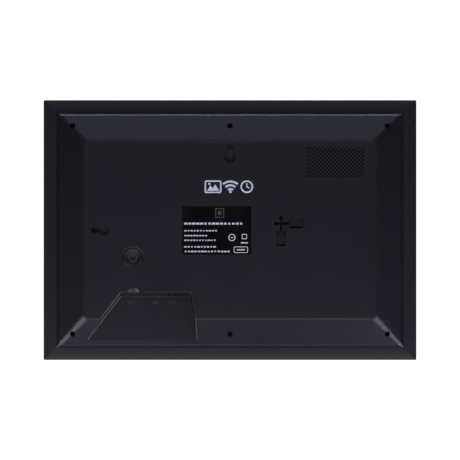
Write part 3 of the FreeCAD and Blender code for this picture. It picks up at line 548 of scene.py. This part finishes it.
class Recipe:
    """A Geometry Nodes tree with named inputs."""

    def __init__(self, name: str, inputs: dict[str, tuple[str, object]]) -> None:
        """Start a tree.

        Args:
            name: The tree's name.
            inputs: For each input, its socket type and its usual value.
        """
        self.tree = bpy.data.node_groups.new(name, "GeometryNodeTree")
        self.ids: dict[str, str] = {}
        for key, (kind, value) in inputs.items():
            socket = self.tree.interface.new_socket(key, in_out="INPUT", socket_type=kind)
            if value is not None:
                socket.default_value = value
            self.ids[key] = socket.identifier
        self.tree.interface.new_socket("Geometry", in_out="OUTPUT", socket_type="NodeSocketGeometry")
        self.entry = self.tree.nodes.new("NodeGroupInput")
        self.exit = self.tree.nodes.new("NodeGroupOutput")

    def node(self, kind: str, links: dict[str, object] | None = None, **settings: object) -> bpy.types.Node:
        """Add a node, set its properties, and join or set its inputs.

        Args:
            kind: The node's type.
            links: Sockets or values for its inputs, by name.
            **settings: Properties of the node.

        Returns:
            The node.
        """
        item = self.tree.nodes.new(kind)
        for key, value in settings.items():
            setattr(item, key, value)
        for key, value in (links or {}).items():
            if isinstance(value, bpy.types.NodeSocket):
                self.tree.links.new(value, item.inputs[key])
            else:
                item.inputs[key].default_value = value
        return item

    def given(self, name: str) -> bpy.types.NodeSocket:
        """One of the tree's inputs."""
        return self.entry.outputs[name]

    def close(self, instances: bpy.types.NodeSocket) -> None:
        """End the tree: realize the instances, give them their material and put them out."""
        real = self.node("GeometryNodeRealizeInstances", {"Geometry": instances})
        dressed = self.node("GeometryNodeSetMaterial",
                            {"Geometry": real.outputs["Geometry"], "Material": self.given("Finish")})
        self.tree.links.new(dressed.outputs["Geometry"], self.exit.inputs["Geometry"])

    def mesh(self, name: str, values: dict[str, object]) -> bpy.types.Mesh:
        """Run the tree and keep its result as a plain mesh.

        Args:
            name: The mesh's name.
            values: Inputs that differ from their usual values.

        Returns:
            The mesh.
        """
        holder = bpy.data.objects.new(name, bpy.data.meshes.new(name + "_seed"))
        bpy.context.scene.collection.objects.link(holder)
        modifier = holder.modifiers.new(name, "NODES")
        modifier.node_group = self.tree
        for key, value in values.items():
            modifier[self.ids[key]] = value
        bpy.context.view_layer.update()
        mesh = bpy.data.meshes.new_from_object(holder.evaluated_get(bpy.context.evaluated_depsgraph_get()))
        holder.modifiers.clear()
        bpy.data.objects.remove(holder)
        return mesh


def print_row_recipe() -> Recipe:
    """A row of short printed strokes of uneven length, in millimetres along X."""
    recipe = Recipe("print_row", {
        "Strokes": ("NodeSocketInt", 6),
        "Pitch": ("NodeSocketFloat", 3.0),
        "Height": ("NodeSocketFloat", 1.0),
        "Thickness": ("NodeSocketFloat", 0.02),
        "Seed": ("NodeSocketInt", 3),
        "Finish": ("NodeSocketMaterial", None),
    })
    step = recipe.node("ShaderNodeCombineXYZ", {"X": recipe.given("Pitch")})
    line = recipe.node("GeometryNodeMeshLine",
                       {"Count": recipe.given("Strokes"), "Offset": step.outputs["Vector"]}, mode="OFFSET")
    share = recipe.node("FunctionNodeRandomValue",
                        {"Min": 0.42, "Max": 0.92, "Seed": recipe.given("Seed")}, data_type="FLOAT")
    length = recipe.node("ShaderNodeMath", {0: recipe.given("Pitch"), 1: share.outputs["Value"]},
                         operation="MULTIPLY")
    scale = recipe.node("ShaderNodeCombineXYZ", {"X": length.outputs["Value"], "Y": recipe.given("Height"),
                                                 "Z": recipe.given("Thickness")})
    stroke = recipe.node("GeometryNodeMeshCube", {"Size": (1.0, 1.0, 1.0)})
    placed = recipe.node("GeometryNodeInstanceOnPoints", {
        "Points": line.outputs["Mesh"],
        "Instance": stroke.outputs["Mesh"],
        "Scale": scale.outputs["Vector"],
    })
    recipe.close(placed.outputs["Instances"])
    return recipe


def small_parts_recipe() -> Recipe:
    """Tiny components scattered on a grid, some left out and some turned a quarter."""
    recipe = Recipe("small_parts", {
        "Width": ("NodeSocketFloat", 40.0),
        "Height": ("NodeSocketFloat", 30.0),
        "Columns": ("NodeSocketInt", 14),
        "Rows": ("NodeSocketInt", 12),
        "Part Size": ("NodeSocketVector", (1.0, 0.5, 0.4)),
        "Seed": ("NodeSocketInt", 11),
        "Finish": ("NodeSocketMaterial", None),
    })
    grid = recipe.node("GeometryNodeMeshGrid", {
        "Size X": recipe.given("Width"),
        "Size Y": recipe.given("Height"),
        "Vertices X": recipe.given("Columns"),
        "Vertices Y": recipe.given("Rows"),
    })
    kept = recipe.node("FunctionNodeRandomValue", {"Probability": 0.55, "Seed": recipe.given("Seed")},
                       data_type="BOOLEAN")
    quarter = recipe.node("FunctionNodeRandomValue", {"Min": 0, "Max": 1, "Seed": recipe.given("Seed")},
                          data_type="INT")
    angle = recipe.node("ShaderNodeMath", {0: quarter.outputs[2], 1: math.pi / 2}, operation="MULTIPLY")
    turn = recipe.node("ShaderNodeCombineXYZ", {"Z": angle.outputs["Value"]})
    part = recipe.node("GeometryNodeMeshCube", {"Size": recipe.given("Part Size")})
    placed = recipe.node("GeometryNodeInstanceOnPoints", {
        "Points": grid.outputs["Mesh"],
        "Selection": kept.outputs[3],
        "Instance": part.outputs["Mesh"],
        "Rotation": turn.outputs["Vector"],
    })
    recipe.close(placed.outputs["Instances"])
    return recipe


# --------------------------------------------------------------------------- sub-assemblies


@dataclass
class Assembly:
    """What every sub-assembly needs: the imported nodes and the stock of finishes."""

    nodes: dict[str, bpy.types.Object]
    stock: dict[str, bpy.types.Material]

    def dress(self, finish: str, *names: str) -> None:
        """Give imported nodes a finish.

        Args:
            finish: The finish's name in the workshop.
            *names: The nodes.
        """
        for name in names:
            slots = self.nodes[name].data.materials
            slots.clear()
            slots.append(self.stock[finish])
            LOG.info("%s wears %s", name, finish)

    def fit(self, piece: bpy.types.Object, body: Body, slot: Slot) -> None:
        """Put a new piece on a body and log it."""
        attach(piece, body.value)
        LOG.info("made %s on %s", piece.name, body.value)

    def level(self, name: str) -> float:
        """The highest Y of a node: the level of its rear face."""
        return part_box(name)[1].y


@dataclass
class FrontAndDisplay(Assembly):
    """The surround, the touch glass with its printed border, and the display behind it."""

    mask_border: float = 8.3
    mask_thickness: float = 0.04
    mask_lift: float = 0.03
    mask_inset: float = 0.2
    mask_slack: float = 3.0

    def build(self) -> None:
        """Dress the nodes and print the glass."""
        self.dress("surround", "front_frame")
        self.dress("glass", "touch_glass")
        self.dress("mask", "glass_tape", "insulation_sheet")
        self.dress("polariser", "lcd_cell")
        self.dress("diffuser", "optical_films")
        self.dress("acrylic", "light_guide")
        self.dress("white", "reflector_sheet", "led_strip")
        self.dress("hidden", "backlight_frame", "panel_retainer")
        self.dress("steel", "lcd_chassis")
        self.dress("black_steel", "retainer_screws")
        self.dress("flex", "display_flex", "touch_flex")
        self.print_glass()

    def print_glass(self) -> None:
        """The black border printed on the back of the touch glass."""
        low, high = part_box("touch_glass")
        width, height = (high.x - low.x) / MM, (high.z - low.z) / MM
        centre = (low + high) / 2
        level = high.y + self.mask_lift * MM
        art = FlatArt("glass_border", Vector((centre.x, level, centre.z)), thickness=self.mask_thickness)
        inner_height = height - 2 * self.mask_border + self.mask_slack
        art.add(panel((0, 0), width - 2 * self.mask_inset, height - 2 * self.mask_inset, 1.3),
                panel((0, 0), width - 2 * self.mask_border, inner_height, 0.6))
        self.fit(art.build(self.stock["mask"]), Body.HOUSING, Slot.FILM)


@dataclass
class RearCover(Assembly):
    """The bevelled cover, the cups behind its openings, its screws and its moulded marks."""

    mark_height: float = 0.25
    mark_drop: float = 9.0
    bay_depth: float = 8.5
    emblem_thickness: float = 0.012
    emblem_sink: float = 0.001
    emblem_shift: float = 0.3

    def build(self) -> None:
        """Dress the nodes and add the marks."""
        self.dress("cover", "rear_cover", "stand_socket_cap")
        # Painted light: the keyhole caps wear the lighter grey plastic so their shaded floors read as bright
        # as the lit panel.
        self.dress("hidden", "keyhole_cap_top", "keyhole_cap_side")
        self.dress("black_steel", "rear_screws")
        self.mark_ports()
        self.print_emblem()

    def bay_floor(self) -> float:
        """The level of the bay's floor."""
        return self.level("rear_cover") - self.bay_depth * MM

    def mark_ports(self) -> None:
        """Raised marks on the bay's floor below the card slot, the data socket and the inlet."""
        level = self.bay_floor() + self.mark_height / 2 * MM
        marks = {
            "card_socket": [panel((0, 0), 4.2, 2.4, 0.4), panel((0, 0), 3.4, 1.6, 0.2),
                            panel((-0.9, 0), 0.5, 1.0), panel((0.1, 0), 0.5, 1.0)],
            "usb_socket": [panel((0, 0), 4.6, 2.0, 0.9), panel((0, 0), 3.8, 1.2, 0.5),
                           panel((0, 0), 2.2, 0.45)],
            "power_inlet": [disc((1.2, 0), 1.2), disc((1.2, 0), 0.85), disc((1.2, 0), 0.4),
                            panel((-1.4, 0), 2.2, 0.4)],
        }
        for node, loops in marks.items():
            low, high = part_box(node)
            place = Vector(((low.x + high.x) / 2, level, low.z - self.mark_drop * MM))
            art = FlatArt(node + "_mark", place, loops, self.mark_height)
            self.fit(art.build(self.stock["hidden"]), Body.HOUSING, Slot.COVER)

    def print_emblem(self) -> None:
        """Three plain pictograms between the keyhole and the label: picture, signal and clock."""
        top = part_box("keyhole_cap_top")[0].z
        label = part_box("rating_label")[1].z
        level = self.level("rear_cover") - self.emblem_sink * MM
        place = Vector((self.emblem_shift * MM, level, (label + top) / 2))
        art = FlatArt("emblem", place, thickness=self.emblem_thickness)
        art.add(panel((-11.4, 0), 11.6, 8.8, 1.2), panel((-11.4, 0), 9.6, 6.8, 0.6))
        art.add([(-15.6, -2.8), (-13.2, 0.9), (-11.6, -0.9), (-9.8, 1.6), (-7.2, -2.8)])
        art.add(disc((-13.9, 2.0), 0.8))
        for radius in (2.7, 5.3, 7.9):
            art.add(band((0.6, -4.3), radius, 1.4, 50.0, 130.0))
        art.add(disc((0.6, -3.5), 0.9))
        art.add(disc((11.9, 0), 4.4, 48), disc((11.9, 0), 3.3, 48))
        art.add([(11.5, 2.4), (12.3, 2.4), (12.3, 0.3), (14.0, -0.8), (13.6, -1.5), (11.5, -0.2)])
        self.fit(art.build(self.stock["emblem"]), Body.HOUSING, Slot.PRINT)


@dataclass
class RatingLabel(Assembly):
    """A gloss black label with rows of short strokes and plain shapes in place of its print."""

    ink_thickness: float = 0.015
    rows: tuple[tuple[float, float, float, int], ...] = (
        (12.0, 40.8, 1.35, 15),
        (16.9, 23.2, 0.9, 11),
        (20.3, 16.4, 0.9, 8),
        (23.5, 22.2, 0.9, 11),
        (28.0, 22.2, 1.0, 10),
        (31.2, 32.0, 1.0, 14),
    )
    margin: float = 1.3

    def build(self) -> None:
        """Dress the film and print on it."""
        self.dress("film", "rating_label")
        low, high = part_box("rating_label")
        corner = Vector((high.x, high.y + self.ink_thickness / 2 * MM, high.z))
        self.print_rows(corner)
        self.print_shapes(corner)

    def print_rows(self, corner: Vector) -> None:
        """Rows of strokes, each given by its depth from the top, length, height and count."""
        recipe = print_row_recipe()
        sheet = FlatArt("label_rows", corner).facing_back()
        joined = bmesh.new()
        for number, (drop, length, height, strokes) in enumerate(self.rows):
            pitch = length / strokes
            mesh = recipe.mesh(f"label_row_{number}", {
                "Strokes": strokes,
                "Pitch": pitch,
                "Height": height,
                "Thickness": self.ink_thickness,
                "Seed": number + 3,
                "Finish": self.stock["print"],
            })
            mesh.transform(sheet @ Matrix.Translation((self.margin + pitch / 2, -drop, 0.0)))
            joined.from_mesh(mesh)
            bpy.data.meshes.remove(mesh)
        whole = bpy.data.meshes.new("label_rows")
        joined.to_mesh(whole)
        joined.free()
        self.fit(finished("label_rows", whole, self.stock["print"]), Body.HOUSING, Slot.PRINT)

    def print_shapes(self, corner: Vector) -> None:
        """Plain shapes: a dim square above, and a disc, a block, a bar and an outlined box below."""
        dim = FlatArt("label_square", corner, thickness=self.ink_thickness)
        dim.add(panel((26.0, -4.7), 6.2, 6.8), panel((26.0, -4.7), 4.8, 5.4), disc((26.0, -4.7), 1.5))
        self.fit(dim.build(self.stock["dim_print"]), Body.HOUSING, Slot.PRINT)
        art = FlatArt("label_shapes", corner, thickness=self.ink_thickness)
        art.add(disc((34.4, -21.6), 2.5), disc((34.4, -21.6), 1.9))
        art.add(panel((34.4, -21.6), 2.0, 0.6))
        art.add(panel((43.0, -20.9), 3.6, 3.6, 0.5), panel((43.0, -20.9), 2.6, 2.6, 0.3))
        art.add(panel((43.0, -25.2), 4.8, 0.9))
        art.add(panel((40.6, -30.0), 9.8, 4.4, 1.0), panel((40.6, -30.0), 8.9, 3.5, 0.7))
        art.add(panel((40.6, -30.0), 5.6, 0.8))
        self.fit(art.build(self.stock["print"]), Body.HOUSING, Slot.PRINT)


@dataclass
class PowerButton(Assembly):
    """The dished cap with its engraved power mark, and the switch it works."""

    dish_ball: float = 24.4
    dish_depth: float = 0.7
    mark_radius: float = 2.8
    stroke: float = 0.5

    def build(self) -> None:
        """Dress the nodes and add the mark."""
        self.dress("cap", "power_button")
        self.dress("epoxy", "tact_switch", "switch_plunger")
        low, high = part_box("power_button")
        centre = (low + high) / 2
        centre.y = high.y
        # The mark is a thin lighter sheet laid in the dish. The engraved mark is real, and its lighter tone
        # is painted light on the engraving's walls.
        art = FlatArt("power_mark", centre, thickness=0.03)
        art.add(band((0, 0), self.mark_radius, self.stroke, 122.0, 418.0))
        art.add(panel((0, 1.7), self.stroke, 2.5, 0.1))
        piece = art.build(self.stock["engraving"], lambda point: self.sink(point, centre))
        self.fit(piece, Body.BUTTON, Slot.PRINT)

    def sink(self, point: Vector, centre: Vector) -> float:
        """How far below the cap's rim the dish lies at a point."""
        reach = math.hypot(point.x - centre.x, point.z - centre.z) / MM
        fall = self.dish_depth - self.dish_ball + math.sqrt(self.dish_ball**2 - reach**2)
        return (0.012 - fall) * MM


@dataclass
class Electronics(Assembly):
    """The main board, its parts, its sockets, the aerial and the small leads."""

    part_height: float = 0.4
    field_width: float = 38.0
    field_height: float = 24.0
    field_drop: float = 18.0

    def build(self) -> None:
        """Dress the nodes and add the small parts on the board's front."""
        self.dress("board", "main_board", "antenna_board")
        self.dress("epoxy", "processor", "memory_chips", "power_inductors", "power_inlet")
        self.dress("tin", "shield_can", "wifi_module", "capacitors", "usb_socket", "card_socket")
        self.dress("white", "flex_connectors", "speaker_connector")
        self.dress("steel", "board_screws", "speaker_screws")
        self.dress("sheath", "speaker_lead", "antenna_lead")
        self.scatter()

    def scatter(self) -> None:
        """Small soldered parts on the board's front face, clear of its screws and plugs."""
        low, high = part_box("main_board")
        mesh = small_parts_recipe().mesh("board_parts", {
            "Width": self.field_width,
            "Height": self.field_height,
            "Part Size": (1.0, 0.5, self.part_height),
            "Finish": self.stock["epoxy"],
        })
        level = low.y - self.part_height / 2 * MM
        place = Vector(((low.x + high.x) / 2, level, high.z - self.field_drop * MM))
        mesh.transform(FlatArt("board_parts", place).facing_back())
        self.fit(finished("board_parts", mesh, self.stock["epoxy"]), Body.HOUSING, Slot.CHIP)


@dataclass
class Speaker(Assembly):
    """The small speaker behind the grille."""

    def build(self) -> None:
        """Dress the nodes."""
        self.dress("hidden", "speaker_frame")
        self.dress("steel", "speaker_magnet")
        self.dress("paper", "speaker_cone")
        self.dress("wire", "voice_coil")
        self.dress("foam", "speaker_gasket")
        self.dress("cloth", "speaker_mesh")


# --------------------------------------------------------------------------- studio


@dataclass(frozen=True)
class Softbox:
    """A rectangular light, aimed at a point."""

    name: str
    place: tuple[float, float, float]
    width: float
    height: float
    power: float
    tint: Colour = (1.0, 1.0, 1.0)
    aim: tuple[float, float, float] = (0.0, 0.0, 0.09)

    def build(self) -> None:
        """Make the light."""
        data = bpy.data.lights.new(self.name, "AREA")
        data.shape = "RECTANGLE"
        data.size, data.size_y = self.width, self.height
        data.energy = self.power
        data.color = self.tint
        light = bpy.data.objects.new(self.name, data)
        light.location = self.place
        light.rotation_euler = (Vector(self.aim) - Vector(self.place)).to_track_quat("-Z", "Y").to_euler()
        light.visible_camera = False
        bpy.context.scene.collection.objects.link(light)


@dataclass
class Studio:
    """A pale room: floor, surroundings, softboxes and the camera straight behind the frame."""

    distance: float = 1.0
    view_width: float = 0.3218
    sensor: float = 36.0
    floor_drop: float = 1.25
    floor_half: float = 12.0
    room_light: float = 0.004
    backdrop_light: float = 1.1
    softboxes: tuple[Softbox, ...] = (
        Softbox("overhead", (0.0, 0.15, 1.05), 1.5, 0.7, 1.95, (0.88, 0.94, 1.18)),
        Softbox("overhead_front", (0.0, -0.35, 0.95), 1.3, 0.4, 13.3, (0.86, 0.84, 1.30)),
        Softbox("below_front", (0.0, -0.35, -0.75), 1.3, 0.4, 3.6, (0.92, 0.99, 1.09)),
        Softbox("low_left", (0.62, 0.5, -0.53), 0.55, 0.55, 3.7, (0.92, 0.93, 1.15)),
        Softbox("low_right", (-0.62, 0.5, -0.53), 0.55, 0.55, 3.1, (0.93, 0.94, 1.13)),
        Softbox("low_left_side", (0.76, 0.12, -0.67), 0.45, 0.45, 2.6, (1.04, 1.0, 0.96)),
        Softbox("low_right_side", (-0.76, 0.12, -0.67), 0.45, 0.45, 4.4, (0.96, 0.96, 1.08)),
        Softbox("key_top", (0.0, 1.2, 0.8), 1.2, 0.35, 1.42, (0.94, 0.87, 1.19)),
        Softbox("key", (0.0, 1.6, 0.35), 1.2, 0.4, 0.1),
        Softbox("key_low", (0.0, 1.5, -0.2), 1.2, 0.3, 0.3, (0.85, 0.93, 1.22)),
        Softbox("key_lower", (0.0, 1.25, -0.6), 1.2, 0.4, 2.6, (0.96, 0.99, 1.05)),
        Softbox("picture_side", (0.3, -1.1, 0.9), 0.9, 0.9, 14.0),
    )

    def build(self) -> None:
        """Set the stage."""
        bpy.context.scene.view_settings.view_transform = "Standard"
        self.surroundings()
        self.floor()
        for softbox in self.softboxes:
            softbox.build()
        self.camera()

    def surroundings(self) -> None:
        """A white backdrop that lights the frame much less than it shows."""
        world = bpy.data.worlds.new("room")
        world.use_nodes = True
        tree = world.node_tree
        dim = tree.nodes["Background"]
        dim.inputs["Color"].default_value = (1.0, 1.0, 1.0, 1.0)
        dim.inputs["Strength"].default_value = self.room_light
        bright = tree.nodes.new("ShaderNodeBackground")
        bright.inputs["Color"].default_value = (1.0, 1.0, 1.0, 1.0)
        bright.inputs["Strength"].default_value = self.backdrop_light
        path = tree.nodes.new("ShaderNodeLightPath")
        mix = tree.nodes.new("ShaderNodeMixShader")
        tree.links.new(path.outputs["Is Camera Ray"], mix.inputs["Fac"])
        tree.links.new(dim.outputs["Background"], mix.inputs[1])
        tree.links.new(bright.outputs["Background"], mix.inputs[2])
        tree.links.new(mix.outputs["Shader"], tree.nodes["World Output"].inputs["Surface"])
        bpy.context.scene.world = world

    def floor(self) -> None:
        """A plain pale floor below the frame, which hangs clear of it."""
        low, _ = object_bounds()
        mesh = bpy.data.meshes.new("floor")
        level = low.z - self.floor_drop
        half = self.floor_half
        corners = [(-half, -half, level), (half, -half, level), (half, half, level), (-half, half, level)]
        mesh.from_pydata(corners, [], [(0, 1, 2, 3)])
        graph = Graph("pale_floor")
        graph.set(Base_Color=(0.86, 0.87, 0.88), Roughness=0.7, Emission_Color=(1.0, 1.0, 1.0),
                  Emission_Strength=self.backdrop_light)
        mesh.materials.append(graph.material)
        floor = bpy.data.objects.new("floor", mesh)
        floor.visible_diffuse = floor.visible_glossy = floor.visible_transmission = False
        floor.visible_shadow = False
        bpy.context.scene.collection.objects.link(floor)
        floor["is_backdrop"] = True

    def camera(self) -> None:
        """The camera, level with the frame's middle and square to its back."""
        low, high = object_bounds()
        data = bpy.data.cameras.new("camera")
        data.sensor_width = self.sensor
        data.lens = self.sensor * self.distance / self.view_width
        data.clip_end = 100.0
        camera = bpy.data.objects.new("camera", data)
        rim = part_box("front_frame")[1].y
        camera.location = (0.0, rim + self.distance, (low.z + high.z) / 2)
        camera.rotation_euler = (math.pi / 2, 0.0, math.pi)
        bpy.context.scene.collection.objects.link(camera)
        bpy.context.scene.camera = camera


def main() -> None:
    """Build the frame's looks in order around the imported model."""
    logging.basicConfig(level=logging.INFO, format="%(name)s: %(message)s")
    for leftover in list(bpy.data.objects):
        bpy.data.objects.remove(leftover)
    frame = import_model()
    stock = Workshop().stock()
    for kind in (FrontAndDisplay, RearCover, RatingLabel, PowerButton, Electronics, Speaker):
        kind(frame["nodes"], stock).build()
    Studio().build()


if __name__ == "__main__":
    main()
